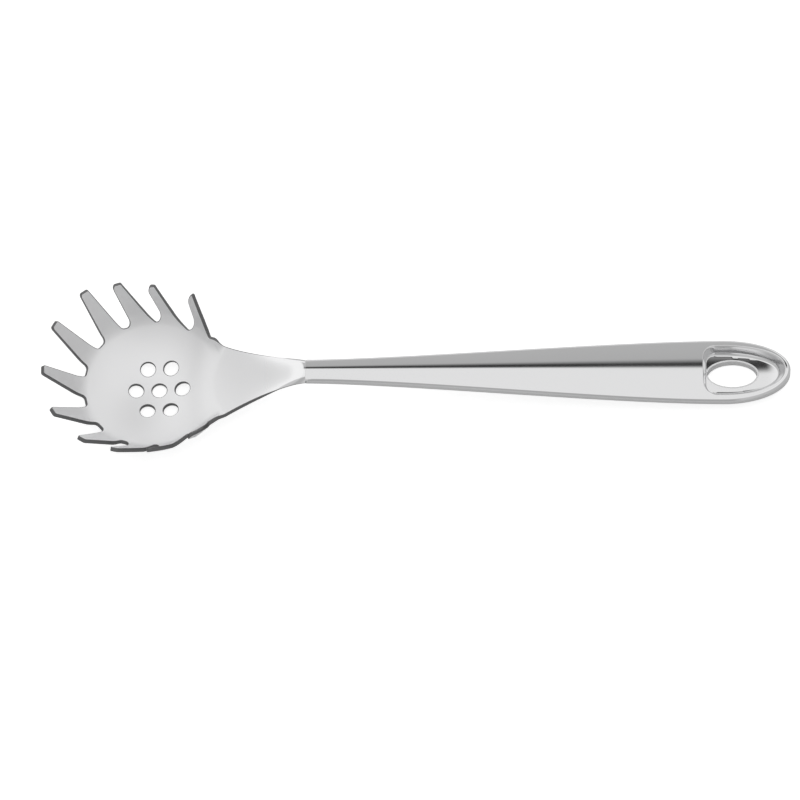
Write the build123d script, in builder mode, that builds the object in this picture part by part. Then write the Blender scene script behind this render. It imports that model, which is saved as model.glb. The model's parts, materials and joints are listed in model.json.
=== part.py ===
from build123d import *
from math import asin, cos, degrees, hypot, radians, sin, sqrt, tan
import os

# A pasta server in pressed steel: a toothed, pierced bowl on a hollow handle.
# It is drawn with the handle's axis along X, the middle drain hole at x = 0 and the teeth up.
# At the end all pieces are turned together onto the surface that the tool lies on.

# Rounds in which the resting angle is worked out
rest_rounds = 5

# Pressed sheet of the head
sheet_thickness = 1.8
cut_overrun = 4.0
fit_clearance = 0.15

# Bowl: a shallow dome that turns up into the teeth. It leans forward and hangs under the handle's axis.
bowl_drop = 17.3
bowl_pitch = 5.7
floor_radius = 65.0
turn_start_radius = 28.3
turn_radius = 10.0
wall_angle = 62.0
lean_share = 0.34
tooth_top_height = 25.3

# Teeth
tooth_count = 11
tooth_tip_pitch = 24.8
tooth_root_pitch = 27.3
tooth_tip_width = 4.4
notch_root_radius = 2.4
root_ring_radius = 29.7
root_height = 7.0

# Drain holes, in staggered rows
drain_hole_diameter = 6.4
drain_hole_pitch = 10.0
drain_row_counts = (2, 3, 2)

# Neck, from the bowl's shoulders to the mouth of the handle
shoulder_place = 23.3
shoulder_half_width = 21.9
neck_mouth_place = 63.0
neck_ramp_start = 20.0
neck_ramp_middle = 54.0
neck_ramp_start_height = 4.9
neck_ramp_middle_height = 17.2
neck_ramp_slopes = (0.28, 0.5, 0.03)
neck_curl_radius = 5.5
neck_flank_shares = ((0.19, 0.50), (0.55, 0.17))
neck_blend_from = 10.0
neck_blend_to = 24.0
neck_blend_side_share = 0.4
neck_blend_round = 6.0
neck_narrowing_lead = 5.0
formed_step = 4.0

# Tang, the head's tongue inside the handle
tang_width = 5.6
tang_length = 30.0
tang_top = 2.2
tang_root = 5.0

# Hollow handle, two pressed shells
handle_wall = 0.8
handle_mouth_width = 10.4
handle_mouth_top = 3.75
handle_mouth_bottom = 4.4
handle_taper_length = 180.0
handle_width = 29.6
handle_top = 4.8
handle_bottom = 6.2
handle_end_length = 28.6
handle_end_top = 2.6
handle_end_bottom = 3.3
handle_edge_radius = 2.2
handle_flank_shares = ((0.25, 0.02), (0.735, 1.0))
mouth_crown_radius = 9.7
wide_top_crown_radius = 50.0
wide_bottom_crown_radius = 39.0
mouth_margin = 1.8
wide_margin = 2.0
end_narrowing_share = 0.5
handle_section_count = 16

# Dish and hanging hole near the handle's end
dish_rim_front = 170.8
dish_rim_margin = 2.4
dish_floor_front = 171.8
dish_floor_margin = 5.1
dish_floor_depth = 2.2
dish_corner_radius = 3.0
hole_place = 183.6
hole_length = 21.2
hole_width = 12.2
liner_wall = 0.75

# Worked-out places
handle_wide_place = neck_mouth_place + handle_taper_length
handle_end_place = handle_wide_place + handle_end_length
turn_start_angle = asin(turn_start_radius / floor_radius)
turn_end_angle = radians(wall_angle)
turn_start_height = floor_radius * (1 - cos(turn_start_angle))
wall_start_radius = turn_start_radius + turn_radius * (sin(turn_end_angle) - sin(turn_start_angle))
wall_start_height = turn_start_height + turn_radius * (cos(turn_start_angle) - cos(turn_end_angle))
tip_ring_radius = wall_start_radius + (tooth_top_height - wall_start_height) / tan(turn_end_angle)
pitch_slope = tan(radians(bowl_pitch))
bowl_plane = Plane(
    origin=(0, 0, -bowl_drop),
    x_dir=(cos(radians(bowl_pitch)), 0, sin(radians(bowl_pitch))),
    z_dir=(-sin(radians(bowl_pitch)), 0, cos(radians(bowl_pitch))),
)


def bowl_profile(radius):
    """Height of the bowl's inner face over its floor: dome, turn, then a straight wall."""
    if radius < turn_start_radius:
        return floor_radius - sqrt(floor_radius**2 - radius**2)
    if radius < wall_start_radius:
        sine = sin(turn_start_angle) + (radius - turn_start_radius) / turn_radius
        return turn_start_height + turn_radius * (cos(turn_start_angle) - sqrt(1 - sine**2))
    return wall_start_height + (radius - wall_start_radius) * tan(turn_end_angle)


def bowl_height(x, y):
    """Height of the leaning bowl over the middle of its floor, in the handle's frame."""
    rise = 0.0
    for _ in range(16):
        rise = bowl_profile(hypot(x + lean_share * rise, y))
    return x * pitch_slope + rise


def ramp(x, start, end):
    """Cubic from start to end, each given as (place, height, slope)."""
    span = end[0] - start[0]
    t = (x - start[0]) / span
    ease = t * t * (3 - 2 * t)
    lead = t * (1 - t) ** 2 * start[2] * span
    trail = t * t * (t - 1) * end[2] * span
    return start[1] + (end[1] - start[1]) * ease + lead + trail


def neck_line(x):
    """Height of the neck's middle line over the bowl's floor, rising in an S to the handle's top."""
    start = (neck_ramp_start, neck_ramp_start_height, neck_ramp_slopes[0])
    middle = (neck_ramp_middle, neck_ramp_middle_height, neck_ramp_slopes[1])
    end = (neck_mouth_place, bowl_drop + handle_mouth_top, neck_ramp_slopes[2])
    if x < start[0]:
        return start[1] + (x - start[0]) * start[2]
    if x > end[0]:
        return end[1] + (x - end[0]) * end[2]
    return ramp(x, start, middle) if x < middle[0] else ramp(x, middle, end)


def neck_height(x, y):
    """Height of the neck: dished like the bowl at its start, curled down over a ridge at its end."""
    share = max(0.0, (x - neck_blend_to) / (neck_mouth_place - neck_blend_to))
    floor_curve = 1 / floor_radius
    curl = (1 / neck_curl_radius + floor_curve) * share**3 - floor_curve
    return neck_line(x) - curl * y**2 / 2


def sheet_height(x, y):
    """Height of the head's inner face: the bowl, blended into the neck behind it."""
    reach = x - neck_blend_side_share * (hypot(y, neck_blend_round) - neck_blend_round)
    t = min(1.0, max(0.0, (reach - neck_blend_from) / (neck_blend_to - neck_blend_from)))
    blend = t * t * (3 - 2 * t)
    return (1 - blend) * bowl_height(x, y) + blend * neck_height(x, y) - bowl_drop


def sheet_half_width(x):
    """Half the width of the formed sheet before it is trimmed, narrowing behind the teeth."""
    share = max(0.0, (x + neck_narrowing_lead) / (neck_mouth_place + neck_narrowing_lead))
    mouth_half = handle_mouth_width / 2 + sheet_thickness
    return mouth_half + (tip_ring_radius + sheet_thickness - mouth_half) * (1 - share**2) ** 2


def formed_point(x, y, depth):
    """Point that lies depth under the head's inner face, measured square to it."""
    nudge = formed_step / 100
    slope_x = (sheet_height(x + nudge, y) - sheet_height(x - nudge, y)) / (2 * nudge)
    slope_y = (sheet_height(x, y + nudge) - sheet_height(x, y - nudge)) / (2 * nudge)
    return Vector(x, y, sheet_height(x, y)) - Vector(-slope_x, -slope_y, 1).normalized() * depth


def formed_face(depth):
    """Face at a depth under the head's inner face, lofted through curves that run across the head."""
    front = tip_ring_radius + lean_share * tooth_top_height + sheet_thickness
    run = neck_mouth_place + sheet_thickness + front
    columns = round(run / formed_step)
    rows = round(2 * tip_ring_radius / formed_step)
    curves = []
    for i in range(columns + 1):
        x = run * i / columns - front
        half = sheet_half_width(x)
        with BuildLine() as curve:
            Spline(*[formed_point(x, half * (2 * j / rows - 1), depth) for j in range(rows + 1)])
        curves.append(curve.wires()[0])
    return Shell.make_loft(curves).faces()[0]


def ring_point(radius, height, angle):
    """Point in plan on a level ring of the leaning bowl, counted from the front tooth."""
    return Vector(-lean_share * height - radius * cos(angle), radius * sin(angle))


def tooth_corner(index, side):
    """Tip corner of a tooth, on its left (-1) or right (1) side."""
    half_angle = asin(tooth_tip_width / 2 / tip_ring_radius)
    angle = radians(tooth_tip_pitch) * index + side * half_angle
    return ring_point(tip_ring_radius, tooth_top_height, angle)


# Plan of the head: ring of the tooth tips, shoulders and neck
half_teeth = (tooth_count - 1) // 2
shoulder = Vector(shoulder_place, shoulder_half_width)
neck_run = Vector(neck_mouth_place - shoulder_place, shoulder_half_width)
neck_mouth = Vector(neck_mouth_place, handle_mouth_width / 2)
neck_bend_a = Vector(
    shoulder.X + neck_flank_shares[0][0] * neck_run.X,
    neck_mouth.Y + (1 - neck_flank_shares[0][1]) * (shoulder.Y - neck_mouth.Y),
)
neck_bend_b = Vector(
    shoulder.X + neck_flank_shares[1][0] * neck_run.X,
    neck_mouth.Y + neck_flank_shares[1][1] * (shoulder.Y - neck_mouth.Y),
)
rear_corner = tooth_corner(half_teeth, 1)
rear_reach = rear_corner + (rear_corner - shoulder) * 0.5

head_bottom = -bowl_drop - sheet_thickness - cut_overrun
head_height = bowl_drop + tooth_top_height + cut_overrun

with BuildPart() as server_head:
    with BuildSketch(Plane.XY.offset(head_bottom)) as plan:
        with BuildLine():
            flank = Bezier(shoulder, neck_bend_a, neck_bend_b, neck_mouth)
            mouth = Line(neck_mouth, (neck_mouth.X, 0))
            rear_side = Line(rear_reach, shoulder)
            front = ThreePointArc(
                rear_reach,
                ring_point(rear_reach.Y * 2, 0, radians(90)),
                (-rear_reach.Y * 2, 0),
            )
            middle_line = Line((-rear_reach.Y * 2, 0), (neck_mouth.X, 0))
        make_face()
        mirror(about=Plane.XZ)
        for k in range(-half_teeth, half_teeth):
            corner_a = tooth_corner(k, 1)
            corner_b = tooth_corner(k + 1, -1)
            angle = radians(tooth_root_pitch) * (k + 0.5)
            root = ring_point(root_ring_radius + notch_root_radius, root_height, angle)
            across = (corner_b - corner_a).normalized() * notch_root_radius
            with BuildLine():
                Polyline(
                    root - across,
                    corner_a + (corner_a - root + across) * 0.5,
                    corner_b + (corner_b - root - across) * 0.5,
                    root + across,
                    close=True,
                )
            make_face(mode=Mode.SUBTRACT)
            with Locations(root):
                Circle(notch_root_radius, mode=Mode.SUBTRACT)
    extrude(amount=head_height)
    split(bisect_by=bowl_plane.offset(tooth_top_height), keep=Keep.BOTTOM)
    extrude(formed_face(sheet_thickness), amount=2 * head_height, dir=(0, 0, 1), mode=Mode.INTERSECT)
    extrude(formed_face(0), amount=2 * head_height, dir=(0, 0, 1), mode=Mode.SUBTRACT)

    with BuildSketch(bowl_plane.offset(-sheet_thickness - cut_overrun)) as drain_holes:
        for row, count in enumerate(drain_row_counts):
            row_place = (row - (len(drain_row_counts) - 1) / 2) * drain_hole_pitch
            with Locations((0, row_place)):
                with GridLocations(drain_hole_pitch, drain_hole_pitch, count, 1):
                    Circle(drain_hole_diameter / 2)
    extrude(amount=sheet_thickness + 3 * cut_overrun, mode=Mode.SUBTRACT)
    with BuildSketch(Plane.YZ.offset(neck_mouth_place - tang_root)) as tang_section:
        with Locations((0, tang_top)):
            Rectangle(tang_width, sheet_thickness, align=(Align.CENTER, Align.MAX))
    extrude(amount=tang_root + tang_length)


def crown_fall(radius, half):
    """How far a crowned face falls from its middle to a distance half beside it."""
    return radius - sqrt(radius**2 - half**2)


def handle_section(place, inset):
    """Top, bottom, their crown radii and the half width of the handle's section at a place."""
    share = min(1.0, (place - neck_mouth_place) / handle_taper_length)
    end_share = max(0.0, (place - handle_wide_place) / handle_end_length)
    rise = share * (2 - share)
    top = handle_mouth_top + (handle_top - handle_mouth_top) * rise
    bottom = handle_mouth_bottom + (handle_bottom - handle_mouth_bottom) * rise
    top -= (handle_top - handle_end_top) * end_share**2
    bottom -= (handle_bottom - handle_end_bottom) * end_share**2
    top_radius = mouth_crown_radius + (wide_top_crown_radius - mouth_crown_radius) * share
    bottom_radius = mouth_crown_radius + (wide_bottom_crown_radius - mouth_crown_radius) * share
    mouth_half = handle_mouth_width / 2 + mouth_margin
    half = mouth_half + (handle_width / 2 + wide_margin - mouth_half) * share
    half *= 1 - end_narrowing_share * end_share**2
    return top - inset, bottom - inset, top_radius - inset, bottom_radius - inset, half - inset


def handle_form(inset):
    """Solid of the whole handle, drawn in by inset on all sides."""
    mouth_half = handle_mouth_width / 2 - inset
    wide_half = handle_width / 2 - inset
    mouth_place = neck_mouth_place + inset
    taper = handle_wide_place - mouth_place
    bends = []
    for along_share, across_share in handle_flank_shares:
        bends.append((mouth_place + along_share * taper, mouth_half + across_share * (wide_half - mouth_half)))
    with BuildPart() as form:
        with BuildSketch(Plane.XY.offset(-handle_bottom)) as plan:
            with BuildLine():
                Line((mouth_place, 0), (mouth_place, mouth_half))
                Bezier((mouth_place, mouth_half), *bends, (handle_wide_place, wide_half))
                EllipticalCenterArc(
                    (handle_wide_place, 0), handle_end_length - inset, wide_half, start_angle=0, arc_size=90
                )
                Line((handle_end_place - inset, 0), (mouth_place, 0))
            make_face()
            mirror(about=Plane.XZ)
        extrude(amount=2 * (handle_top + handle_bottom))
        first = neck_mouth_place - cut_overrun
        run = handle_end_place + cut_overrun - first
        for i in range(handle_section_count):
            place = first + run * i / (handle_section_count - 1)
            top, bottom, top_radius, bottom_radius, half = handle_section(place, inset)
            top_side = top - crown_fall(top_radius, half)
            low_side = bottom - crown_fall(bottom_radius, half)
            with BuildSketch(Plane.YZ.offset(place)):
                with BuildLine():
                    upper = ThreePointArc((-half, top_side), (0, top), (half, top_side))
                    lower = ThreePointArc((-half, -low_side), (0, -bottom), (half, -low_side))
                    Line(upper @ 0, lower @ 0)
                    Line(upper @ 1, lower @ 1)
                make_face()
        loft(mode=Mode.INTERSECT)
        rims = form.edges().filter_by(Axis.Z, reverse=True).filter_by(
            lambda edge: edge.center().X > mouth_place + inset + handle_edge_radius / 10
        )
        fillet(rims, handle_edge_radius - inset)
    return form.part


def dish_form(growth):
    """Solid that fills the dish from its floor past the handle's top, grown by growth."""
    outlines = (
        (-dish_floor_depth - growth, dish_floor_front, dish_floor_margin),
        (handle_top, dish_rim_front, dish_rim_margin),
        (handle_top + cut_overrun, dish_rim_front, dish_rim_margin),
    )
    corner = dish_corner_radius + growth
    with BuildPart() as form:
        for height, front, margin in outlines:
            start = neck_mouth_place + front - growth
            half = handle_width / 2 - margin + growth
            length = handle_end_length - margin + growth
            with BuildSketch(Plane.XY.offset(height)):
                with BuildLine():
                    Line((start, 0), (start, half - corner))
                    CenterArc((start + corner, half - corner), corner, 90, 90)
                    Line((start + corner, half), (handle_wide_place, half))
                    EllipticalCenterArc((handle_wide_place, 0), length, half, start_angle=0, arc_size=90)
                    Line((handle_wide_place + length, 0), (start, 0))
                make_face()
                mirror(about=Plane.XZ)
        loft(ruled=True)
    return form.part


outer_form = handle_form(0)
inner_form = handle_form(handle_wall)
hole_centre = neck_mouth_place + hole_place

with BuildPart() as handle_top_shell:
    add(outer_form)
    add(inner_form, mode=Mode.SUBTRACT)
    split(bisect_by=Plane.XY, keep=Keep.TOP)
    add(dish_form(handle_wall).intersect(outer_form))
    add(dish_form(0), mode=Mode.SUBTRACT)
    with BuildSketch(Plane.XY.offset(-handle_bottom)) as top_hole:
        with Locations((hole_centre, 0)):
            Ellipse(hole_length / 2 + liner_wall + fit_clearance, hole_width / 2 + liner_wall + fit_clearance)
    extrude(amount=2 * handle_top, mode=Mode.SUBTRACT)
    with BuildSketch(Plane.YZ.offset(neck_mouth_place - cut_overrun)) as tang_slot:
        with Locations((0, tang_top + fit_clearance)):
            Rectangle(
                tang_width + 2 * fit_clearance,
                sheet_thickness + 2 * fit_clearance,
                align=(Align.CENTER, Align.MAX),
            )
    extrude(amount=2 * cut_overrun, mode=Mode.SUBTRACT)

with BuildPart() as handle_bottom_shell:
    add(outer_form)
    add(inner_form, mode=Mode.SUBTRACT)
    split(bisect_by=Plane.XY, keep=Keep.BOTTOM)
    with BuildSketch(Plane.XY.offset(-2 * handle_bottom)) as bottom_hole:
        with Locations((hole_centre, 0)):
            Ellipse(hole_length / 2 + liner_wall + fit_clearance, hole_width / 2 + liner_wall + fit_clearance)
    extrude(amount=2 * handle_top, mode=Mode.SUBTRACT)

with BuildPart() as hanging_hole_liner:
    with BuildSketch(Plane.XY.offset(-2 * handle_bottom)) as ring:
        with Locations((hole_centre, 0)):
            Ellipse(hole_length / 2 + liner_wall, hole_width / 2 + liner_wall)
            Ellipse(hole_length / 2, hole_width / 2, mode=Mode.SUBTRACT)
    extrude(amount=2 * handle_bottom - dish_floor_depth)
    add(outer_form, mode=Mode.INTERSECT)

# Rest: the tool is turned until the bowl and the handle's end stand on one surface
pieces = {
    "server_head": server_head.part,
    "handle_top_shell": handle_top_shell.part,
    "handle_bottom_shell": handle_bottom_shell.part,
    "hanging_hole_liner": hanging_hole_liner.part,
}
rest_angle = 0.0
for _ in range(rest_rounds):
    turn = Location((0, 0, 0), (0, degrees(rest_angle), 0))
    boxes = {name: piece.moved(turn).bounding_box() for name, piece in pieces.items()}
    handle_low = min(box.min.Z for name, box in boxes.items() if name != "server_head")
    rest_angle += (handle_low - boxes["server_head"].min.Z) / handle_wide_place
middle = (min(box.min.X for box in boxes.values()) + max(box.max.X for box in boxes.values())) / 2
shift = Location((-middle, 0, -min(box.min.Z for box in boxes.values())))
print(f"rest turn {degrees(rest_angle):.5f} degrees, shift {shift.position}")

os.makedirs("parts", exist_ok=True)
for name, piece in pieces.items():
    placed = piece.moved(shift * turn)
    placed.label = name
    export_step(placed, f"parts/{name}.step")
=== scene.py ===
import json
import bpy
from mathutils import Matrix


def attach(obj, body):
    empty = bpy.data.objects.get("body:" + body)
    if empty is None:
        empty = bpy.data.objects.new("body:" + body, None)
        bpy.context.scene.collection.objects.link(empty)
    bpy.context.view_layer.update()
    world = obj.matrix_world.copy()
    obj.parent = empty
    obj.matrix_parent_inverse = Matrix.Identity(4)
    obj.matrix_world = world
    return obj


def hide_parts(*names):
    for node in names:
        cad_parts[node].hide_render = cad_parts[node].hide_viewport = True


bl_info = {
    "name": "Pasta server",
    "version": (1, 0, 0),
    "blender": (4, 5, 0),
    "location": "View3D > Sidebar > Pasta server",
    "description": "Builds a steel pasta server: a toothed, pierced bowl on a hollow handle",
    "category": "Add Mesh",
}

import bpy
import numpy as np
from bpy.props import FloatProperty, FloatVectorProperty, PointerProperty
from bpy.types import Operator, Panel, PropertyGroup
from mathutils import Matrix
from mathutils.geometry import delaunay_2d_cdt

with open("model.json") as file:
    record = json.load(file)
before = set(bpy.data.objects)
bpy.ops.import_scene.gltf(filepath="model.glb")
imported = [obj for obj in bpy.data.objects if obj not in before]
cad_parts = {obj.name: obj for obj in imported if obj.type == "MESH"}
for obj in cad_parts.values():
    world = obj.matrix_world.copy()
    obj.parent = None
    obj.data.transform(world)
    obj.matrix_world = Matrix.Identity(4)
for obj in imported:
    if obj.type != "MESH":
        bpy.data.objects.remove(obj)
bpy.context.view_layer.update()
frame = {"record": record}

# Everything is drawn in millimetres with the handle's axis along X and the middle drain hole at x = 0,
# and then laid on the surface that the tool lies on. The hanging hole's mount says how.
millimetre = 0.001
gradient_step = 0.02

# Pressed sheet of the head
sheet_thickness = 1.8
sheet_edge_radius = 0.3
edge_ring_count = 13

# Bowl: a shallow dome that turns up into the teeth
bowl_drop = 17.29
bowl_pitch = 5.7
floor_radius = 65.0
turn_start_radius = 28.3
turn_radius = 10.0
wall_angle = 62.0
lean_share = 0.34
tooth_top_height = 25.3

# Teeth
tooth_count = 11
tooth_tip_angles = (0.0, 30.2, 56.7, 75.6, 95.2, 121.4)
tooth_tip_radii = (40.6, 41.2, 41.75, 40.4, 39.2, 39.8)
tooth_root_pitch = 27.3
tip_corner_radius = 1.0
notch_root_radius = 2.4
notch_round_share = 0.78
root_ring_radius = 29.7
root_height = 7.0

# Drain holes, in staggered rows
drain_hole_pitch = 10.0
drain_row_counts = (2, 3, 2)

# Neck, from the bowl's shoulders to the mouth of the handle
shoulder_place = 21.4
shoulder_half_width = 20.3
neck_corner_radius = 0.6
neck_mouth_place = 63.0
neck_ramp_start = 20.0
neck_ramp_middle = 54.0
neck_ramp_start_height = 4.9
neck_ramp_middle_height = 18.1
neck_ramp_slopes = (0.28, 0.38, 0.02)
neck_curl_power = 4
neck_mouth_width = 11.2
neck_mouth_overlap = 0.5
neck_mouth_sink = 0.04
neck_edge_droop = 1.3
neck_droop_power_along = 8
neck_droop_power_across = 6
neck_flank_shares = ((0.24, 0.58), (0.58, 0.17))
neck_blend_from = 10.0
neck_blend_to = 24.0
neck_blend_side_share = 0.4
neck_blend_round = 6.0
polished_neck_places = (34.0, 58.0)
polished_neck_roughness = 0.1

# Hollow handle
shell_wall = 0.6
handle_mouth_width = 10.6
handle_mouth_heights = {"top": 3.2, "bottom": 4.4}
handle_wide_heights = {"top": 3.7, "bottom": 6.2}
handle_end_top = 3.6
mouth_crown_radius = 12.5
wide_crown_radius = 50.0
underside_edge_heights = (0.2, 1.3)
underside_power = 2.4
handle_taper_length = 180.0
handle_width = 29.6
handle_end_length = 28.5
handle_flank_shares = ((0.25, 0.02), (0.735, 1.0))
mouth_corner_radius = 1.0
mouth_edge_radius = 0.15
mouth_edge_run = 3.0
fillet_ring_count = 10

# Radius of a shell's rounded edge, first at the mouth's corners and then along the handle
top_edge_radii = (0.7, 1.4)
underside_edge_radii = (0.8, 0.8)

# Sine of the steepest slope at which a face meets that edge
steepest_sine = 0.95

# Dish and hanging hole near the handle's end
dish_rim_front = 170.9
dish_rim_margin = 2.4
dish_floor_front = 172.1
dish_floor_margin = 5.1
dish_floor_depth = 1.6
dish_corner_radius = 4.5
dish_rim_blend = 0.8
dish_floor_blend = 1.4
dish_floor_crown = 105.0
mount_drop = 2.2
dish_rise_place = 192.0
dish_rise_radius = 90.0
hole_place = 183.6
liner_wall = 0.75
liner_gap = 0.03
liner_lip_radius = 0.3

# Spacing and numbers of the surfaces' points
head_pitch = 0.8
handle_pitch = 1.0
outline_step = 0.4
curve_points = 60
flank_points = 2000
arc_points = 13
lip_points = 6
liner_points = 180
dish_levels = (-0.3, 1.25, 26)
no_points = np.empty((0, 2))

# Room kept round the hanging hole, in millimetres, and round all given points, as a share of the grid's pitch
level_clearance = 0.2
grid_clearance = 0.55

# Rounds of a sum that is repeated until it settles, points handled at once, and values too small to count
lean_rounds = 16
edge_rounds = 6
chunk = 200
tiny = 1e-9
least_sweep = 1e-4
fill_tolerance = 1e-7

# Worked-out places
handle_wide_place = neck_mouth_place + handle_taper_length
hole_centre = neck_mouth_place + hole_place
dish_half_width = handle_width / 2 - dish_floor_margin
dish_end_length = handle_end_length - dish_floor_margin
turn_start_angle = np.arcsin(turn_start_radius / floor_radius)
turn_end_angle = np.radians(wall_angle)
turn_start_height = floor_radius * (1 - np.cos(turn_start_angle))
wall_start_radius = turn_start_radius + turn_radius * (np.sin(turn_end_angle) - np.sin(turn_start_angle))
wall_start_height = turn_start_height + turn_radius * (np.cos(turn_start_angle) - np.cos(turn_end_angle))
tip_ring_radius = wall_start_radius + (tooth_top_height - wall_start_height) / np.tan(turn_end_angle)
pitch_slope = np.tan(np.radians(bowl_pitch))
pitch_cosine = np.cos(np.radians(bowl_pitch))

# Steel: its fine grain and its broad wipe marks
head_grain_scale = 1800.0
handle_grain_scale = 2500.0
grain_detail = 2.0
grain_strength = 0.25
mark_scale = 18.0
mark_detail = 3.0
mark_distortion = 0.6
mark_range = (0.3, 0.7)

# Finishes: how far the wipe marks move the roughness, the grain's scale, and its height in metres
satin_finish = (0.03, head_grain_scale, 0.00002)
punched_finish = (0.05, head_grain_scale, 0.00004)
polished_finish = (0.015, handle_grain_scale, 0.000002)
liner_finish = (0.02, handle_grain_scale, 0.000002)
liner_added_roughness = 0.05

# Light that the floor gives of itself, to the camera and to the steel's reflections
floor_seen_glow = 0.72
floor_reflected_glow = 0.1

# Studio round the tool, seen in a section across the handle: degrees from the zenith towards the
# photographer, and how bright the studio is there. The dark gap and the grey card lie behind the handle only.
studio_bands = ((-90, 1.0), (-30, 1.0), (12, 1.0), (22, 0.62), (90, 0.6))
card_bands = (
    (-90, 1.0),
    (-72, 1.0),
    (-62, 0.53),
    (-39, 0.5),
    (-35.5, 0.22),
    (-33.5, 0.04),
    (-30.5, 0.04),
    (-29, 0.4),
    (-27.5, 0.92),
    (12, 0.92),
    (22, 0.47),
    (90, 0.45),
)

# How far a direction leans along the handle where the card begins and ends, and where the plain sides begin
card_begins = (-0.12, -0.03)
card_ends = (0.14, 0.26)
studio_sides = (0.42, 0.75)
studio_side_shade = 0.57

# Photograph's frame, in pixels, and its scale
picture_width = 800
picture_centre = (400.0, 400.0)
middle_drain_hole_pixel = 158.1
handle_axis_pixel = 372.3
millimetres_per_pixel = 0.429
camera_elevation = 63.0
camera_sensor_width = 36.0
camera_clip_end = 100.0


class ServerHeadSizes(PropertyGroup):
    """Sizes of the pressed head."""

    tooth_tip_width: FloatProperty(
        name="Tooth tip width",
        description="Width of a tooth at its tip, in millimetres",
        default=4.2,
        min=2.0,
    )
    drain_hole_diameter: FloatProperty(
        name="Drain hole diameter",
        description="Diameter of a drain hole, in millimetres",
        default=6.4,
        min=2.0,
    )
    colour: FloatVectorProperty(
        name="Head colour",
        description="Colour of the satin steel",
        default=(0.88, 0.88, 0.885),
        subtype="COLOR",
    )
    roughness: FloatProperty(
        name="Head roughness",
        description="Roughness of the satin steel",
        default=0.44,
        min=0.0,
        max=1.0,
    )
    # Colour of the sheet's rims and hole walls: steel darkened as a painted shade that stands in for the dark
    # surroundings they reflect
    edge_colour_painted_dark: FloatVectorProperty(
        name="Edge colour",
        description="Colour of the sheet's cut edges",
        default=(0.19, 0.19, 0.192),
        subtype="COLOR",
    )
    edge_roughness: FloatProperty(
        name="Edge roughness",
        description="Roughness of the sheet's cut edges",
        default=0.3,
        min=0.0,
        max=1.0,
    )


class HandleSizes(PropertyGroup):
    """Sizes of the hollow handle."""

    hole_length: FloatProperty(
        name="Hole length",
        description="Length of the hanging hole, in millimetres",
        default=21.2,
        min=5.0,
    )
    hole_width: FloatProperty(
        name="Hole width",
        description="Width of the hanging hole, in millimetres",
        default=12.2,
        min=5.0,
    )
    colour: FloatVectorProperty(
        name="Handle colour",
        description="Colour of the polished steel",
        default=(0.8, 0.8, 0.805),
        subtype="COLOR",
    )
    roughness: FloatProperty(
        name="Handle roughness",
        description="Roughness of the polished steel",
        default=0.07,
        min=0.0,
        max=1.0,
    )


class StageSettings(PropertyGroup):
    """Camera, floor and studio."""

    camera_distance: FloatProperty(
        name="Camera distance", description="From the camera to the tool", default=4.0, unit="LENGTH"
    )
    floor_size: FloatProperty(name="Floor size", description="Side of the floor", default=6.0, unit="LENGTH")
    floor_shade: FloatProperty(name="Floor shade", description="Grey of the floor's own colour", default=0.62)


# Shapes of the head


def bowl_profile(radius):
    """Height of the bowl's inner face over its floor: a dome, then a tighter turn, then a straight wall."""
    dome = floor_radius - np.sqrt(floor_radius**2 - np.minimum(radius, turn_start_radius) ** 2)
    turned = np.clip(radius, turn_start_radius, wall_start_radius) - turn_start_radius
    sine = np.sin(turn_start_angle) + turned / turn_radius
    turn = turn_start_height + turn_radius * (np.cos(turn_start_angle) - np.sqrt(1 - sine**2))
    wall = wall_start_height + (radius - wall_start_radius) * np.tan(turn_end_angle)
    return np.where(radius < turn_start_radius, dome, np.where(radius < wall_start_radius, turn, wall))


def bowl_height(x, y):
    """Height of the leaning bowl: its profile round a middle that moves forward as the wall rises."""
    rise = np.zeros_like(x)
    for _ in range(lean_rounds):
        rise = bowl_profile(np.hypot(x + lean_share * rise, y))
    return x * pitch_slope + rise


def ramp(x, start, end):
    """Cubic from start to end, each given as (place, height, slope)."""
    span = end[0] - start[0]
    t = (x - start[0]) / span
    ease = t * t * (3 - 2 * t)
    lead = t * (1 - t) ** 2 * start[2] * span
    trail = t * t * (t - 1) * end[2] * span
    return start[1] + (end[1] - start[1]) * ease + lead + trail


def neck_line(x):
    """Height of the neck's middle line over the bowl's floor, rising in an S to the handle's top."""
    start = (neck_ramp_start, neck_ramp_start_height, neck_ramp_slopes[0])
    middle = (neck_ramp_middle, neck_ramp_middle_height, neck_ramp_slopes[1])
    end = (neck_mouth_place, bowl_drop + handle_mouth_heights["top"] - neck_mouth_sink, neck_ramp_slopes[2])
    before = start[1] + (x - start[0]) * start[2]
    after = end[1] + (x - end[0]) * end[2]
    rising = np.where(x < middle[0], ramp(x, start, middle), ramp(x, middle, end))
    return np.where(x < start[0], before, np.where(x > end[0], after, rising))


def neck_height(x, y):
    """Height of the neck: dished like the bowl at its start, crowned like the handle at its end, where its
    edges also droop."""
    share = np.maximum(0.0, (x - neck_blend_to) / (neck_mouth_place - neck_blend_to))
    curl = (1 / mouth_crown_radius + 1 / floor_radius) * share**neck_curl_power - 1 / floor_radius
    across = (2 * y / neck_mouth_width) ** neck_droop_power_across
    droop = neck_edge_droop * share**neck_droop_power_along * across
    return neck_line(x) - curl * y**2 / 2 - droop


def sheet_height(x, y):
    """Height of the head's inner face: the bowl, blended into the neck behind it."""
    reach = x - neck_blend_side_share * (np.hypot(y, neck_blend_round) - neck_blend_round)
    t = np.clip((reach - neck_blend_from) / (neck_blend_to - neck_blend_from), 0.0, 1.0)
    blend = t * t * (3 - 2 * t)
    return (1 - blend) * bowl_height(x, y) + blend * neck_height(x, y) - bowl_drop


def ring_point(radius, height, angle):
    """Points in plan on a level ring of the leaning bowl, counted from the front tooth."""
    return np.stack([-lean_share * height - radius * np.cos(angle), radius * np.sin(angle)], -1)


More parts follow.
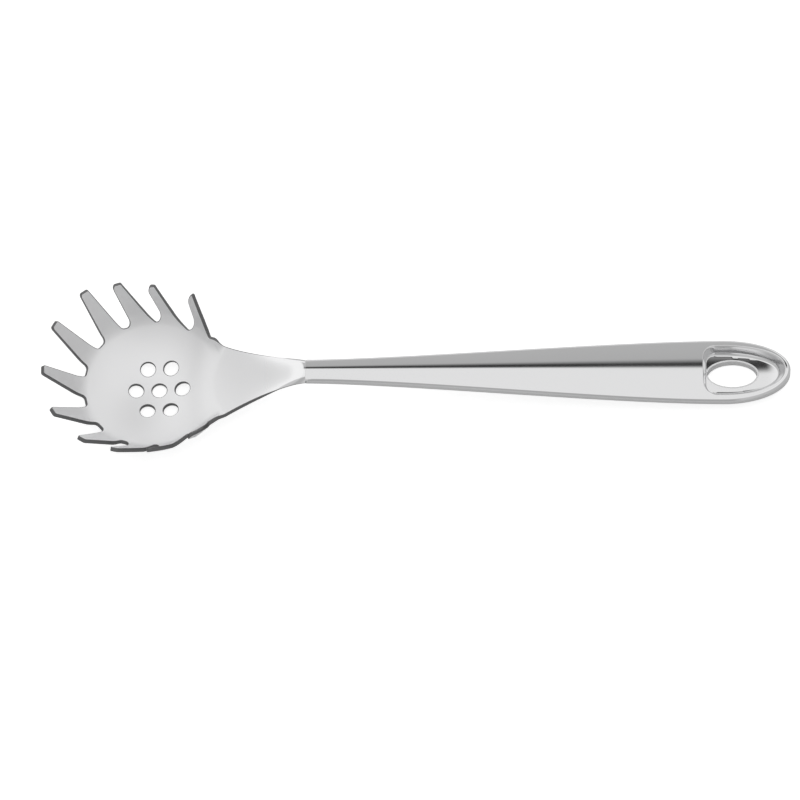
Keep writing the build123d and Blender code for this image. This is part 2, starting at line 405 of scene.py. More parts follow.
def head_outline(tip_width):
    """Head's outline in plan, anticlockwise: for each tooth two tip corners, for each notch two root corners,
    then the shoulders and a curve down each side of the neck."""
    half_teeth = (tooth_count - 1) // 2
    index = np.arange(-half_teeth, half_teeth + 1)
    tips = np.sign(index) * np.radians(tooth_tip_angles)[np.abs(index)]
    radii = np.array(tooth_tip_radii)[np.abs(index)]
    heights = tooth_top_height + (radii - tip_ring_radius) * np.tan(turn_end_angle)
    half_angles = np.arcsin(tip_width / 2 / radii)
    left = ring_point(radii, heights, tips - half_angles)
    right = ring_point(radii, heights, tips + half_angles)
    roots = ring_point(
        root_ring_radius + notch_root_radius, root_height, np.radians(tooth_root_pitch) * (index[:-1] + 0.5)
    )
    across = unit(left[1:] - right[:-1])
    back = np.stack([across[:, 1], -across[:, 0]], -1)
    first_root = roots + (back - across) * notch_root_radius
    second_root = roots + (back + across) * notch_root_radius
    corners = np.stack([left[:-1], right[:-1], first_root, second_root], 1).reshape(-1, 2)
    rounding = np.tile([tip_corner_radius] * 2 + [notch_root_radius * notch_round_share] * 2, len(roots))
    corners = np.vstack([corners, left[-1:], right[-1:]])
    rounding = np.append(rounding, [tip_corner_radius] * 2)
    shoulder = np.array([shoulder_place, shoulder_half_width])
    mouth = np.array([neck_mouth_place + neck_mouth_overlap, neck_mouth_width / 2])
    bends = [
        (shoulder[0] + along * (mouth[0] - shoulder[0]), mouth[1] + rest * (shoulder[1] - mouth[1]))
        for along, rest in neck_flank_shares
    ]
    flank = bezier(shoulder, *bends, mouth)
    corners = np.vstack([corners, flank, flank[::-1] * (1, -1)])
    flank_rounding = np.zeros(len(flank))
    flank_rounding[-1] = neck_corner_radius
    rounding = np.concatenate([rounding, flank_rounding, flank_rounding[::-1]])
    return even_loop(rounded_loop(corners, rounding), outline_step)[::-1]


# Shapes of the handle


def along_handle(x, mouth_value, wide_value):
    """Value that goes quickly, then slowly, from the one at the handle's mouth to the one at its widest."""
    share = np.clip((x - neck_mouth_place) / handle_taper_length, 0.0, 1.0)
    return mouth_value + (wide_value - mouth_value) * share * (2 - share)


def crown(x, y):
    """Height of the handle's top face over the seam: a line along the handle that rises from mouth to widest
    place and falls a little to the end, less the fall of a circular crown to either side."""
    share = np.clip((x - neck_mouth_place) / handle_taper_length, 0.0, 1.0)
    end_share = np.maximum(0.0, (x - handle_wide_place) / handle_end_length)
    middle = along_handle(x, handle_mouth_heights["top"], handle_wide_heights["top"])
    middle = middle - (handle_wide_heights["top"] - handle_end_top) * end_share**2
    radius = mouth_crown_radius + (wide_crown_radius - mouth_crown_radius) * share
    return middle - radius + np.sqrt(radius**2 - y**2)


def handle_flank(points):
    """Curved side of the handle in plan, from its mouth to its widest place."""
    half = handle_mouth_width / 2
    wide_half = handle_width / 2
    bends = [
        (neck_mouth_place + along * handle_taper_length, half + across * (wide_half - half))
        for along, across in handle_flank_shares
    ]
    return bezier((neck_mouth_place, half), *bends, (handle_wide_place, wide_half), points)


def smooth_least(a, b, blend):
    """The lesser of two heights, with a rounded passage where they differ by less than blend."""
    share = np.maximum(blend - np.abs(a - b), 0.0) / blend
    return np.minimum(a, b) - share * share * blend / 4


def dish_height(x, y):
    """Height of the dish: a slightly crowned floor that lifts towards the end, and a wall that rises with the
    distance outside the floor's D-shaped outline."""
    along = np.maximum(x - handle_wide_place, 0.0) / dish_end_length
    across = y / dish_half_width
    reach = np.hypot(along, across) + tiny
    steepness = np.hypot(along / dish_end_length, across / dish_half_width) + tiny
    side = (reach - 1) * reach / steepness
    front = neck_mouth_place + dish_floor_front - x
    past_side = side + dish_corner_radius
    past_front = front + dish_corner_radius
    side_part = np.maximum(past_side, 0.0) ** 2 + tiny
    front_part = np.maximum(past_front, 0.0) ** 2 + tiny
    outside = np.sqrt(side_part + front_part) + np.minimum(np.maximum(past_side, past_front), 0.0)
    front_run = dish_floor_front - dish_rim_front
    side_run = dish_floor_margin - dish_rim_margin
    run = (front_run * front_part + side_run * side_part) / (front_part + side_part)
    depth = handle_wide_heights["top"] + dish_floor_depth
    wall = (outside - dish_corner_radius) / run * depth - dish_floor_depth
    past_rise = np.maximum(x - neck_mouth_place - dish_rise_place, 0.0)
    floor = past_rise**2 / 2 / dish_rise_radius - y**2 / 2 / dish_floor_crown - dish_floor_depth
    return -smooth_least(-wall, -floor, dish_floor_blend)


def handle_top_height(x, y):
    """Height of the handle's top face over the seam: its crown, cut by the dish with a rounded rim."""
    return smooth_least(crown(x, y), dish_height(x, y), dish_rim_blend)


def handle_bottom_height(x, y):
    """How far the handle's underside hangs under the seam: deepest along its middle line, and less by a power
    of the share of the way out to the outline."""
    flank = handle_flank(flank_points)
    half = np.interp(x, flank[:, 0], flank[:, 1])
    end_share = np.maximum(0.0, (x - handle_wide_place) / handle_end_length)
    out = np.hypot(end_share, y / half)
    edge = along_handle(x, *underside_edge_heights)
    middle = along_handle(x, handle_mouth_heights["bottom"], handle_wide_heights["bottom"])
    return edge + (middle - edge) * (1 - out**underside_power)


def handle_outline():
    """Handle's outline in plan, anticlockwise: mouth, curved flanks and half an ellipse round the end."""
    wide_half = handle_width / 2
    flank = handle_flank(curve_points)
    angle = np.linspace(np.pi / 2, -np.pi / 2, 2 * curve_points)[1:-1]
    end = np.stack([handle_wide_place + handle_end_length * np.cos(angle), wide_half * np.sin(angle)], -1)
    corners = np.vstack([flank, end, flank[::-1] * (1, -1)])
    radii = np.zeros(len(corners))
    radii[[0, -1]] = mouth_corner_radius
    return even_loop(rounded_loop(corners, radii), outline_step)[::-1]


def dish_outline(level):
    """Outline of the dish at a share of its wall's height, 0 at its floor and 1 at its rim."""
    front = neck_mouth_place + dish_floor_front + level * (dish_rim_front - dish_floor_front)
    grown = level * (dish_floor_margin - dish_rim_margin)
    half = dish_half_width + grown
    length = dish_end_length + grown
    angle = np.linspace(np.pi / 2, -np.pi / 2, curve_points)
    end = np.stack([handle_wide_place + length * np.cos(angle), half * np.sin(angle)], -1)
    corners = np.vstack([[[front, half]], end, [[front, -half]]])
    radii = np.zeros(len(corners))
    radii[[0, -1]] = dish_corner_radius + max(grown, 0.0)
    return even_loop(rounded_loop(corners, radii), outline_step)


def ellipse_loop(centre, half_length, half_width, step):
    """Clockwise ellipse in plan."""
    count = int(np.pi * (half_length + half_width) / step)
    angle = -2 * np.pi * np.arange(count) / count
    return np.stack([centre[0] + half_length * np.cos(angle), centre[1] + half_width * np.sin(angle)], -1)


# Curves, fills and rims


def unit(vectors):
    """Vectors scaled to length one."""
    return vectors / np.linalg.norm(vectors, axis=-1, keepdims=True)


def bezier(a, b, c, d, count=curve_points):
    """Points on a cubic curve from a to d, bent towards b and c."""
    t = np.linspace(0, 1, count)[:, None]
    a, b, c, d = (np.asarray(point, dtype=float) for point in (a, b, c, d))
    return a * (1 - t) ** 3 + 3 * b * t * (1 - t) ** 2 + 3 * c * t * t * (1 - t) + d * t**3


def rounded_loop(corners, radii):
    """Closed polygon with rounded corners: each corner gives way to the arc of its radius that touches both
    sides, turned evenly from the one touching point to the other."""
    before = unit(np.roll(corners, 1, 0) - corners)
    after = unit(np.roll(corners, -1, 0) - corners)
    cosine = np.clip((before * after).sum(-1), -1, 1)
    half = np.arccos(cosine) / 2
    sweep = np.pi - 2 * half
    reach = (radii / np.tan(half))[:, None]
    start = corners + before * reach
    end = corners + after * reach
    bent = (radii > 0) & (sweep > least_sweep)
    middle = before + after
    middle = middle / np.maximum(np.linalg.norm(middle, axis=-1, keepdims=True), tiny)
    centre = np.where(bent[:, None], corners + middle * (radii / np.sin(half))[:, None], corners)
    t = np.linspace(0, 1, arc_points)[None, :]
    safe = np.where(bent, sweep, 1.0)[:, None]
    first = np.sin((1 - t) * safe) / np.sin(safe)
    second = np.sin(t * safe) / np.sin(safe)
    towards_start = first[..., None] * (start - centre)[:, None]
    towards_end = second[..., None] * (end - centre)[:, None]
    arc = np.where(bent[:, None, None], centre[:, None] + towards_start + towards_end, corners[:, None])
    return arc.reshape(-1, 2)


def even_loop(points, step):
    """Closed loop divided into even runs of about a step."""
    closed = np.vstack([points, points[:1]])
    run = np.concatenate([[0], np.cumsum(np.hypot(*np.diff(closed, axis=0).T))])
    count = int(round(run[-1] / step))
    places = np.arange(count) * run[-1] / count
    return np.stack([np.interp(places, run, closed[:, axis]) for axis in (0, 1)], -1)


def inside(points, loop):
    """Whether each point lies inside the loop, so that a line to its right crosses the loop an odd number of
    times."""
    odd = np.zeros(len(points), dtype=bool)
    x, y = points[:, :1], points[:, 1:]
    ends = np.roll(loop, -1, 0)
    for first in range(0, len(loop), chunk):
        a, b = loop[first : first + chunk], ends[first : first + chunk]
        crosses = (a[:, 1] > y) != (b[:, 1] > y)
        rise = np.where(a[:, 1] == b[:, 1], 1.0, b[:, 1] - a[:, 1])
        at = a[:, 0] + (y - a[:, 1]) * (b[:, 0] - a[:, 0]) / rise
        odd ^= (crosses & (x < at)).sum(1) % 2 == 1
    return odd


def clear_of(points, others, distance):
    """Whether each point is farther than a distance from all others."""
    clear = np.ones(len(points), dtype=bool)
    for first in range(0, len(others), chunk):
        gaps = points[:, None] - others[None, first : first + chunk]
        clear &= (gaps**2).sum(-1).min(1) > distance**2
    return clear


def fill(loops, pitch, extra):
    """Triangles between the first loop and the others: the loops' points, extra points and a staggered grid,
    joined so that no triangle crosses a loop."""
    low, high = loops[0].min(0), loops[0].max(0)
    rows = int((high[1] - low[1]) / pitch)
    columns = int((high[0] - low[0]) / pitch)
    row, column = np.meshgrid(np.arange(rows + 1), np.arange(columns + 1), indexing="ij")
    grid = np.stack([low[0] + (column + row % 2 / 2) * pitch, low[1] + row * pitch], -1).reshape(-1, 2)
    fixed = np.vstack([*loops, extra])
    grid = grid[inside(grid, loops[0])]
    for loop in loops[1:]:
        grid = grid[~inside(grid, loop)]
    grid = grid[clear_of(grid, fixed, pitch * grid_clearance)]
    points = np.vstack([fixed, grid])
    edges = []
    start = 0
    for loop in loops:
        index = np.arange(len(loop)) + start
        edges.append(np.stack([index, np.roll(index, -1)], -1))
        start += len(loop)
    made = delaunay_2d_cdt(points.tolist(), np.vstack(edges).tolist(), [], 0, fill_tolerance, False)
    if len(made[0]) != len(points):
        raise RuntimeError(f"the outline crosses itself: {len(points)} points became {len(made[0])}")
    triangles = np.array(made[2])
    middles = points[triangles].mean(1)
    keep = inside(middles, loops[0])
    for loop in loops[1:]:
        keep &= ~inside(middles, loop)
    triangles = triangles[keep]
    a, b, c = (points[triangles[:, k]] for k in range(3))
    turned = (b[:, 0] - a[:, 0]) * (c[:, 1] - a[:, 1]) - (b[:, 1] - a[:, 1]) * (c[:, 0] - a[:, 0]) < 0
    triangles[turned] = triangles[turned][:, ::-1]
    return points, triangles


def surface(height, plan):
    """Points and outward normals of a height over the plan; the normals come from its slopes."""
    x, y = plan[:, 0], plan[:, 1]
    step = gradient_step
    slope_x = (height(x + step, y) - height(x - step, y)) / (2 * step)
    slope_y = (height(x, y + step) - height(x, y - step)) / (2 * step)
    points = np.stack([x, y, height(x, y)], -1)
    normals = unit(np.stack([-slope_x, -slope_y, np.ones_like(x)], -1))
    return points, normals


def ring_quads(rings):
    """Quads between rings of points, each ring given by the numbers of its points."""
    upper, lower = rings[:-1], rings[1:]
    quads = np.stack([upper, lower, np.roll(lower, -1, 1), np.roll(upper, -1, 1)], -1)
    return quads.reshape(-1, 4)


def sheet_mesh(outline, holes):
    """Closed sheet under the head's inner face. The plan gives its inner face, the same points lie a
    thickness under it along the normals, and a rounded edge is carried round the outline and each hole. The
    last value is the number of the first face of these edges."""
    borders = [outline, *holes]
    inner_loops = []
    frames = []
    for loop in borders:
        points, normals = surface(sheet_height, loop)
        along = unit(np.roll(points, -1, 0) - np.roll(points, 1, 0))
        inward = unit(np.cross(normals, along))
        inner_loops.append((points + inward * sheet_edge_radius)[:, :2])
        frames.append((points, normals, inward))
    plan, triangles = fill(inner_loops, head_pitch, no_points)
    points, normals = surface(sheet_height, plan)
    count = len(points)
    layers = [points, points - normals * sheet_thickness]
    layer_normals = [normals, -normals]
    faces = [triangles, triangles[:, ::-1] + count]
    angles = np.linspace(0, np.pi, edge_ring_count)[1:-1]
    total = 2 * count
    start = 0
    for loop_points, loop_normals, inward in frames:
        first = np.arange(len(loop_points)) + start
        start += len(loop_points)
        rings = [first]
        for angle in angles:
            inset = sheet_edge_radius * (1 - np.sin(angle))
            depth = sheet_edge_radius * (1 - abs(np.cos(angle)))
            if angle > np.pi / 2:
                depth = sheet_thickness - depth
            layers.append(loop_points + inward * inset - loop_normals * depth)
            layer_normals.append(loop_normals * np.cos(angle) - inward * np.sin(angle))
            rings.append(np.arange(len(first)) + total)
            total += len(first)
        rings.append(first + count)
        faces.append(ring_quads(np.array(rings)))
    return np.vstack(layers), np.vstack(layer_normals), faces, len(triangles) * 2


def shell_mesh(outline, hole, height, extra, edge_radii):
    """Closed half of the handle over its seam: a face of the given height, a rounded edge that touches it,
    a short side down to the seam, and the same again a wall's thickness inside. The edge's radius passes from
    the first of the given two to the second behind the mouth."""
    along = unit(np.roll(outline, -1, 0) - np.roll(outline, 1, 0))
    outward = np.stack([along[:, 1], -along[:, 0]], -1)
    front = np.clip(-outward[:, 0], 0, 1) ** 2
    side_share = np.clip((outline[:, 0] - neck_mouth_place) / mouth_edge_run, 0, 1)
    side_radius = edge_radii[0] + (edge_radii[1] - edge_radii[0]) * side_share
    radius = side_radius * (1 - front) + mouth_edge_radius * front
    inset = radius.copy()
    for _ in range(edge_rounds):
        points, normals = surface(height, outline - outward * inset[:, None])
        sine = np.clip((normals[:, :2] * outward).sum(-1), 0.0, steepest_sine)
        inset = radius * (1 - sine)
    slope = np.arcsin(sine)
    centre = np.column_stack([outline - outward * radius[:, None], points[:, 2] - radius * np.cos(slope)])
    plan, triangles = fill([points[:, :2], hole], handle_pitch, extra)
    points, normals = surface(height, plan)
    outward = np.column_stack([outward, np.zeros(len(outward))])
    rings, ring_normals = [], []
    for share in np.linspace(0, 1, fillet_ring_count)[1:]:
        angle = (slope + (np.pi / 2 - slope) * share)[:, None]
        normal = outward * np.sin(angle) + np.array([0, 0, 1]) * np.cos(angle)
        rings.append(centre + radius[:, None] * normal)
        ring_normals.append(normal)
    rings.append(rings[-1] * (1, 1, 0))
    ring_normals.append(outward)
    outer = np.vstack([points, *rings])
    outer_normals = np.vstack([normals, *ring_normals])
    count = len(outer)
    size = len(outline)
    numbers = [np.arange(size)] + [len(points) + k * size + np.arange(size) for k in range(len(rings))]
    outer_faces = ring_quads(np.array(numbers))
    seam = ring_quads(np.array([numbers[-1], numbers[-1] + count]))
    hole_numbers = size + np.arange(len(hole))
    hole_wall = ring_quads(np.array([hole_numbers, hole_numbers + count]))
    faces = [
        triangles,
        triangles[:, ::-1] + count,
        outer_faces,
        outer_faces[:, ::-1] + count,
        seam,
        hole_wall,
    ]
    layers = np.vstack([outer, outer - outer_normals * shell_wall])
    return layers, np.vstack([outer_normals, -outer_normals]), faces


def turned_under(shape):
    """A half of the handle turned over its seam, with its faces outwards again."""
    points, normals, faces = shape
    under = np.array([1, 1, -1])
    return points * under, normals * under, [face[:, ::-1] for face in faces]


def liner_mesh(half_length, half_width):
    """Ring that lines the hole: a profile with two rounded lips, carried round an ellipse. Its top is level
    with the dish's floor and its foot follows the handle's bottom face."""
    angle = np.linspace(0, np.pi / 2, lip_points)
    lip = liner_lip_radius
    top_across = np.concatenate([[liner_wall], lip * (1 - np.sin(angle))])
    top_drop = np.concatenate([[0.0], lip * (1 - np.cos(angle))])
    across = np.concatenate([top_across, top_across[::-1]])
    fall = np.concatenate([top_drop, -top_drop[::-1]])
    low = np.concatenate([np.zeros(len(top_drop)), np.ones(len(top_drop))])
    lean = np.concatenate([[0.0], angle, np.pi - angle[::-1], [np.pi]])
    turn = 2 * np.pi * np.arange(liner_points) / liner_points
    cosine, sine = np.cos(turn)[:, None], np.sin(turn)[:, None]
    x = hole_centre + (half_length + across) * cosine
    y = (half_width + across) * sine
    foot = -handle_bottom_height(x, y)
    z = np.where(low > 0.5, foot, dish_height(x, y)) - fall
    outward = unit(np.stack([half_width * np.cos(turn), half_length * np.sin(turn)], -1))
    outward = np.column_stack([outward, np.zeros(len(turn))])[:, None]
    normals = -outward * np.sin(lean)[None, :, None] + np.array([0, 0, 1]) * np.cos(lean)[None, :, None]
    points = np.stack([x, y, z], -1)
    profile_size = len(across)
    number = np.arange(points.shape[0] * profile_size).reshape(-1, profile_size)
    after = np.roll(number, -1, 0)
    faces = np.stack([number, np.roll(number, -1, 1), np.roll(after, -1, 1), after], -1).reshape(-1, 4)
    return points.reshape(-1, 3), normals.reshape(-1, 3), [faces[:, ::-1]]


# Pieces


def resting_place():
    """Turn and shift that lay the drawn tool on its surface, as the hanging hole's mount lies there."""
    mount = frame["record"]["mounts"][0]
    tilt = np.arctan2(mount["axis"][0], mount["axis"][2])
    turn = np.array([[np.cos(tilt), 0, np.sin(tilt)], [0, 1, 0], [-np.sin(tilt), 0, np.cos(tilt)]])
    drawn = np.array([hole_centre, 0, -mount_drop]) * millimetre
    return turn, np.array(mount["pos_m"]) - turn @ drawn


def add_piece(name, shape, materials, node):
    """Adds an object with the given points, normals and faces, laid at rest, that stands for a CAD node. If
    the shape gives the number of a first edge face, the faces from that one on have the second material."""
    points, normals, faces, *edge_from = shape
    turn, shift = resting_place()
    placed = points * millimetre @ turn.T + shift
    mesh = bpy.data.meshes.new(name)
    mesh.from_pydata(placed.tolist(), [], [face for block in faces for face in block.tolist()])
    mesh.shade_smooth()
    mesh.normals_split_custom_set_from_vertices((normals @ turn.T).tolist())
    for material in materials:
        mesh.materials.append(material)
    if edge_from:
        numbers = np.arange(len(mesh.polygons)) >= edge_from[0]
        mesh.polygons.foreach_set("material_index", numbers.astype(np.int32))
    piece = bpy.data.objects.new(name, mesh)
    bpy.context.scene.collection.objects.link(piece)
    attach(piece, "root")
    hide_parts(node)


# Materials


def new_group(name, inputs, outputs):
    """Empty shader group with named float inputs and outputs."""
    group = bpy.data.node_groups.new(name, "ShaderNodeTree")
    for label, value in inputs.items():
        socket = group.interface.new_socket(label, in_out="INPUT", socket_type="NodeSocketFloat")
        socket.default_value = value
    for label in outputs:
        group.interface.new_socket(label, in_out="OUTPUT", socket_type="NodeSocketFloat")
    return group, group.nodes.new("NodeGroupInput"), group.nodes.new("NodeGroupOutput")


def steel_marks_group():
    """Group that puts out fine polishing grain and broad, soft wipe marks, both from 0 to 1."""
    name = "steel_marks"
    if name in bpy.data.node_groups:
        return bpy.data.node_groups[name]
    scales = {"Grain Scale": head_grain_scale, "Mark Scale": mark_scale}
    group, given, result = new_group(name, scales, ("Grain", "Marks"))
    nodes, links = group.nodes, group.links
    place = nodes.new("ShaderNodeTexCoord")
    grain = nodes.new("ShaderNodeTexNoise")
    grain.inputs["Detail"].default_value = grain_detail
    marks = nodes.new("ShaderNodeTexNoise")
    marks.inputs["Detail"].default_value = mark_detail
    marks.inputs["Distortion"].default_value = mark_distortion
    for noise, scale in ((grain, "Grain Scale"), (marks, "Mark Scale")):
        links.new(place.outputs["Object"], noise.inputs["Vector"])
        links.new(given.outputs[scale], noise.inputs["Scale"])
    links.new(grain.outputs["Fac"], result.inputs["Grain"])
    links.new(marks.outputs["Fac"], result.inputs["Marks"])
    return group


def steel(name, colour, roughness, spread, grain_scale, grain_height):
    """Bare steel: its roughness varies by a spread with wipe marks, and a fine grain lifts its face."""
    material = bpy.data.materials.new(name)
    material.use_nodes = True
    nodes, links = material.node_tree.nodes, material.node_tree.links
    shader = nodes["Principled BSDF"]
    shader.inputs["Metallic"].default_value = 1.0
    shader.inputs["Base Color"].default_value = (*colour, 1.0)
    marks = nodes.new("ShaderNodeGroup")
    marks.node_tree = steel_marks_group()
    marks.inputs["Grain Scale"].default_value = grain_scale
    varied = nodes.new("ShaderNodeMapRange")
    varied.inputs["From Min"].default_value = mark_range[0]
    varied.inputs["From Max"].default_value = mark_range[1]
    varied.inputs["To Min"].default_value = roughness - spread
    varied.inputs["To Max"].default_value = roughness + spread
    links.new(marks.outputs["Marks"], varied.inputs["Value"])
    links.new(varied.outputs["Result"], shader.inputs["Roughness"])
    bump = nodes.new("ShaderNodeBump")
    bump.inputs["Strength"].default_value = grain_strength
    bump.inputs["Distance"].default_value = grain_height
    links.new(marks.outputs["Grain"], bump.inputs["Height"])
    links.new(bump.outputs["Normal"], shader.inputs["Normal"])
    return material


def polish_neck(material):
    """Lets the satin finish of the bowl run out along the neck into the handle's polish."""
    nodes, links = material.node_tree.nodes, material.node_tree.links
    shader = nodes["Principled BSDF"]
    satin = shader.inputs["Roughness"].links[0].from_socket
    shift = resting_place()[1]
    first, last = np.array(polished_neck_places) * millimetre + shift[0]
    place = nodes.new("ShaderNodeTexCoord")
    parts = nodes.new("ShaderNodeSeparateXYZ")
    links.new(place.outputs["Object"], parts.inputs[0])
    share = nodes.new("ShaderNodeMapRange")
    share.interpolation_type = "SMOOTHSTEP"
    share.inputs["From Min"].default_value = first
    share.inputs["From Max"].default_value = last
    links.new(parts.outputs["X"], share.inputs["Value"])
    mix = nodes.new("ShaderNodeMix")
    mix.inputs[3].default_value = polished_neck_roughness
    links.new(share.outputs["Result"], mix.inputs[0])
    links.new(satin, mix.inputs[2])
    links.new(mix.outputs[0], shader.inputs["Roughness"])


class PASTA_OT_head(Operator):
    """Add the pressed head with its bowl, teeth, drain holes and neck"""

    bl_idname = "pasta_server.add_head"
    bl_label = "Head"

    def execute(self, context):
        sizes = context.scene.server_head
        outline = head_outline(sizes.tooth_tip_width)
        radius = sizes.drain_hole_diameter / 2
        holes = []
        for row, count in enumerate(drain_row_counts):
            y = (row - (len(drain_row_counts) - 1) / 2) * drain_hole_pitch
            for k in range(count):
                x = (k - (count - 1) / 2) * drain_hole_pitch * pitch_cosine
                holes.append(ellipse_loop((x, y), radius, radius, outline_step))
        satin = steel("head_satin_steel", sizes.colour, sizes.roughness, *satin_finish)
        polish_neck(satin)
        # The rims and hole walls get a painted dark colour, which stands in for the dark reflections they
        # show
        edge_material_painted_dark = steel("edge_steel_painted_dark", sizes.edge_colour_painted_dark, sizes.edge_roughness, *punched_finish)
        add_piece("head_sheet", sheet_mesh(outline, holes), (satin, edge_material_painted_dark), "server_head")
        return {"FINISHED"}


class PASTA_OT_handle(Operator):
    """Add the two shells of the hollow handle and the ring that lines the hanging hole"""

    bl_idname = "pasta_server.add_handle"
    bl_label = "Handle"

    def execute(self, context):
        sizes = context.scene.server_handle
        half_length, half_width = sizes.hole_length / 2, sizes.hole_width / 2
        edge = liner_wall + liner_gap
        hole = ellipse_loop((hole_centre, 0), half_length + edge, half_width + edge, outline_step)
        outline = handle_outline()
        levels = np.vstack([dish_outline(level) for level in np.linspace(*dish_levels)])
        levels = levels[~inside(levels, hole) & clear_of(levels, hole, level_clearance)]
        polished = steel("handle_polished_steel", sizes.colour, sizes.roughness, *polished_finish)
        top = shell_mesh(outline, hole, handle_top_height, levels, top_edge_radii)
        add_piece("handle_top", top, (polished,), "handle_top_shell")
        bottom = shell_mesh(outline, hole, handle_bottom_height, no_points, underside_edge_radii)
        add_piece("handle_bottom", turned_under(bottom), (polished,), "handle_bottom_shell")
        rougher = sizes.roughness + liner_added_roughness
        lining = steel("liner_polished_steel", sizes.colour, rougher, *liner_finish)
        liner = liner_mesh(half_length, half_width)
        add_piece("hole_liner", liner, (lining,), "hanging_hole_liner")
        return {"FINISHED"}


class PASTA_OT_stage(Operator):
    """Add the floor, the studio round it and the camera"""

    bl_idname = "pasta_server.add_stage"
    bl_label = "Stage"

    def execute(self, context):
        stage = context.scene.server_stage
        add_floor(stage.floor_size, stage.floor_shade)
        set_studio(context.scene)
        add_camera(context.scene, stage.camera_distance)
        context.scene.view_settings.view_transform = "Standard"
        return {"FINISHED"}


def add_floor(size, shade):
    """Level floor in plain grey, which the camera sees as white with the tool's soft shadow."""
    corners = np.array([(-1, -1, 0), (1, -1, 0), (1, 1, 0), (-1, 1, 0)]) * size / 2
    mesh = bpy.data.meshes.new("floor")
    mesh.from_pydata(corners.tolist(), [], [(0, 1, 2, 3)])
    material = bpy.data.materials.new("floor_paper")
    material.use_nodes = True
    nodes, links = material.node_tree.nodes, material.node_tree.links
    nodes.clear()
    out = nodes.new("ShaderNodeOutputMaterial")
    paper = nodes.new("ShaderNodeBsdfDiffuse")
    paper.inputs["Color"].default_value = (shade, shade, shade, 1)
    lift = nodes.new("ShaderNodeEmission")
    path = nodes.new("ShaderNodeLightPath")
    seen = nodes.new("ShaderNodeMath")
    seen.operation = "MULTIPLY_ADD"
    seen.inputs[1].default_value = floor_reflected_glow
    links.new(path.outputs["Is Glossy Ray"], seen.inputs[0])
    lifted = nodes.new("ShaderNodeMath")
    lifted.operation = "MULTIPLY"
    lifted.inputs[1].default_value = floor_seen_glow
    links.new(path.outputs["Is Camera Ray"], lifted.inputs[0])
    links.new(lifted.outputs[0], seen.inputs[2])
    links.new(seen.outputs[0], lift.inputs["Strength"])
    both = nodes.new("ShaderNodeAddShader")
    links.new(paper.outputs[0], both.inputs[0])
    links.new(lift.outputs[0], both.inputs[1])
    links.new(both.outputs[0], out.inputs["Surface"])
    mesh.materials.append(material)
    floor = bpy.data.objects.new("floor", mesh)
    bpy.context.scene.collection.objects.link(floor)


def band_ramp(nodes, links, share, stops):
    """Colour ramp over the angle across the handle, from -90 to 90 degrees, with the given stops."""
    ramp_node = nodes.new("ShaderNodeValToRGB")
    elements = ramp_node.color_ramp.elements
    while len(elements) < len(stops):
        elements.new(0.5)
    for element, (degrees, shade) in zip(elements, stops):
        element.position = (degrees + 90) / 180
        element.color = (shade, shade, shade, 1)
    links.new(share, ramp_node.inputs["Fac"])
    return ramp_node.outputs["Color"]


def smooth_share(nodes, links, value, low, high):
    """Share from 0 at low to 1 at high, eased at both ends."""
    node = nodes.new("ShaderNodeMapRange")
    node.interpolation_type = "SMOOTHSTEP"
    node.inputs["From Min"].default_value = low
    node.inputs["From Max"].default_value = high
    links.new(value, node.inputs["Value"])
    return node.outputs["Result"]


def mixed(nodes, links, share, first, second):
    """Mix of two colours; each is an output or a plain grey."""
    node = nodes.new("ShaderNodeMix")
    node.data_type = "RGBA"
    links.new(share, node.inputs[0])
    for socket, colour in ((node.inputs[6], first), (node.inputs[7], second)):
        if isinstance(colour, float):
            socket.default_value = (colour, colour, colour, 1)
        else:
            links.new(colour, socket)
    return node.outputs[2]


def calculated(nodes, links, operation, first, second):
    """Result of one sum on two values; each is an output or a plain number."""
    node = nodes.new("ShaderNodeMath")
    node.operation = operation
    for socket, value in ((node.inputs[0], first), (node.inputs[1], second)):
        if isinstance(value, float):
            socket.default_value = value
        else:
            links.new(value, socket)
    return node.outputs[0]


def set_studio(scene):
    """World: white behind the tool for the camera, and for all other rays a studio in bands that run along
    the handle, with an overhead light, a dark gap and a grey card behind the handle, and a white backdrop."""
    world = bpy.data.worlds.new("studio")
    scene.world = world
    world.use_nodes = True
    nodes, links = world.node_tree.nodes, world.node_tree.links
    direction = nodes.new("ShaderNodeTexCoord")
    parts = nodes.new("ShaderNodeSeparateXYZ")
    links.new(direction.outputs["Generated"], parts.inputs[0])
    towards = calculated(nodes, links, "MULTIPLY", parts.outputs["Y"], -1.0)
    angle = calculated(nodes, links, "ARCTAN2", towards, parts.outputs["Z"])
    share = nodes.new("ShaderNodeMapRange")
    share.inputs["From Min"].default_value = -np.pi / 2
    share.inputs["From Max"].default_value = np.pi / 2
    links.new(angle, share.inputs["Value"])
    plain = band_ramp(nodes, links, share.outputs["Result"], studio_bands)
    carded = band_ramp(nodes, links, share.outputs["Result"], card_bands)
    begun = smooth_share(nodes, links, parts.outputs["X"], *card_begins)
    ended = smooth_share(nodes, links, parts.outputs["X"], *card_ends)
    left = calculated(nodes, links, "SUBTRACT", 1.0, ended)
    behind = calculated(nodes, links, "MULTIPLY", begun, left)
    studio = mixed(nodes, links, behind, plain, carded)
    sideways = calculated(nodes, links, "ABSOLUTE", parts.outputs["X"], 0.0)
    side = smooth_share(nodes, links, sideways, *studio_sides)
    studio = mixed(nodes, links, side, studio, studio_side_shade)
    path = nodes.new("ShaderNodeLightPath")
    seen = mixed(nodes, links, path.outputs["Is Camera Ray"], studio, 1.0)
    links.new(seen, nodes["Background"].inputs["Color"])


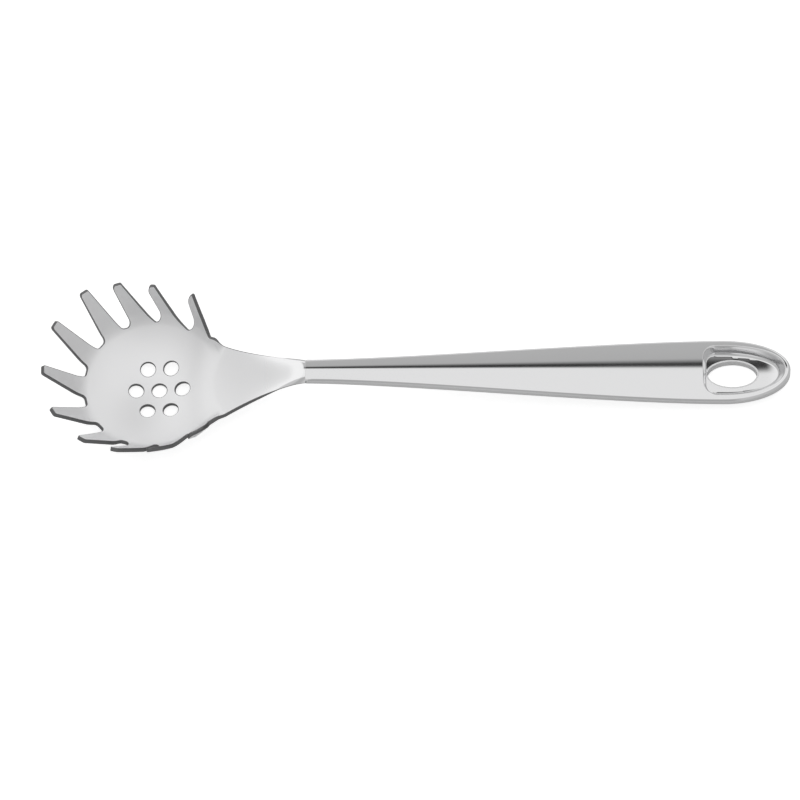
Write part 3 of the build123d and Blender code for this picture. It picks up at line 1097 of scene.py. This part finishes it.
def add_camera(scene, distance):
    """Long-lens camera at the photograph's elevation. It is turned with the handle, which lies level in
    the photograph, and aims at the point of the handle's plane that is in the middle of the picture."""
    turn, shift = resting_place()
    elevation = np.radians(camera_elevation)
    right = np.array([1, 0, 0])
    up = np.array([0, np.sin(elevation), np.cos(elevation)])
    back = np.array([0, -np.cos(elevation), np.sin(elevation)])
    along = (picture_centre[0] - middle_drain_hole_pixel) * millimetres_per_pixel
    across = (handle_axis_pixel - picture_centre[1]) * millimetres_per_pixel / np.sin(elevation)
    aim = turn @ (np.array([along, across, 0]) * millimetre) + shift
    axes = np.column_stack([turn @ right, turn @ up, turn @ back])
    data = bpy.data.cameras.new("camera")
    data.sensor_width = camera_sensor_width
    data.lens = camera_sensor_width * distance / (picture_width * millimetres_per_pixel * millimetre)
    data.clip_end = camera_clip_end
    camera = bpy.data.objects.new("camera", data)
    scene.collection.objects.link(camera)
    placed = np.eye(4)
    placed[:3, :3] = axes
    placed[:3, 3] = aim + turn @ back * distance
    camera.matrix_world = Matrix(placed.tolist())
    scene.camera = camera


class PASTA_PT_panel(Panel):
    """Sizes of the pasta server and its pieces"""

    bl_label = "Pasta server"
    bl_space_type = "VIEW_3D"
    bl_region_type = "UI"
    bl_category = "Pasta server"

    def draw(self, context):
        for group in (context.scene.server_head, context.scene.server_handle, context.scene.server_stage):
            box = self.layout.box()
            for name in group.__annotations__:
                box.prop(group, name)
        for piece in (PASTA_OT_head, PASTA_OT_handle, PASTA_OT_stage):
            self.layout.operator(piece.bl_idname)


classes = (
    ServerHeadSizes,
    HandleSizes,
    StageSettings,
    PASTA_OT_head,
    PASTA_OT_handle,
    PASTA_OT_stage,
    PASTA_PT_panel,
)


def register():
    """Register the classes and the sizes that the scene carries."""
    for item in classes:
        bpy.utils.register_class(item)
    bpy.types.Scene.server_head = PointerProperty(type=ServerHeadSizes)
    bpy.types.Scene.server_handle = PointerProperty(type=HandleSizes)
    bpy.types.Scene.server_stage = PointerProperty(type=StageSettings)


def unregister():
    """Remove the sizes and the classes again."""
    del bpy.types.Scene.server_stage
    del bpy.types.Scene.server_handle
    del bpy.types.Scene.server_head
    for item in reversed(classes):
        bpy.utils.unregister_class(item)


def main():
    """Build all pieces and the stage."""
    register()
    bpy.ops.pasta_server.add_head()
    bpy.ops.pasta_server.add_handle()
    bpy.ops.pasta_server.add_stage()


if __name__ == "__main__":
    main()
